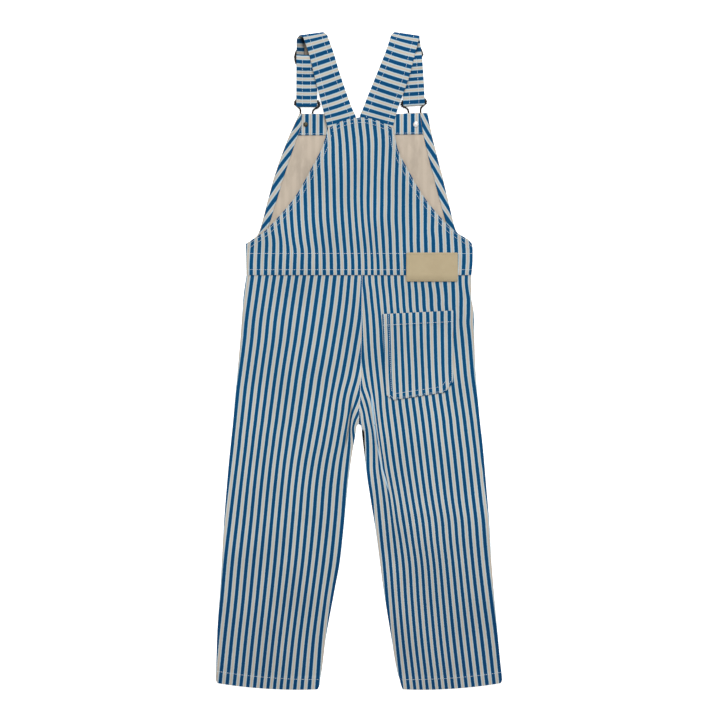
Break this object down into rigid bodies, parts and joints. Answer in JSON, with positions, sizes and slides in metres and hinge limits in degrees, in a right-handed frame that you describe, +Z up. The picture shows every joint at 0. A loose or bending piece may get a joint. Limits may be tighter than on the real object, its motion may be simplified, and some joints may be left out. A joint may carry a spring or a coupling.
{
  "type": "dungarees",
  "caption": "Children's striped dungarees laid flat on their front, with a bib, crossed-back straps, metal clips, a back pocket and a plain leather patch.",
  "frame": {"origin": "on the surface the garment lies on, under the middle of its bounding box", "axes": "+Y from the hems to the shoulders, +X towards the wearer's right side, +Z up, out of the garment's back"},
  "size_m": [0.3714, 0.8552, 0.0107],
  "materials": {
    "striped_cloth": "woven denim in blue and cream stripes",
    "aged_brass": "dark aged wire and button",
    "silver": "light satin button",
    "tan_leather": "plain tan, matt"
  },
  "bodies": {
    "root": {"back_bib": "striped_cloth", "front_bib": "striped_cloth", "back_leg_left": "striped_cloth", "back_leg_right": "striped_cloth", "front_leg_left": "striped_cloth", "front_leg_right": "striped_cloth", "strap_left": "striped_cloth", "strap_right": "striped_cloth", "bib_top_facing": "striped_cloth", "bib_side_facing_left": "striped_cloth", "bib_side_facing_right": "striped_cloth", "back_pocket": "striped_cloth", "waist_patch": "tan_leather", "button_left": "aged_brass", "button_right": "silver", "clip_left": "aged_brass", "clip_right": "aged_brass", "slide_left": "aged_brass", "slide_right": "aged_brass"}
  },
  "joints": []
}
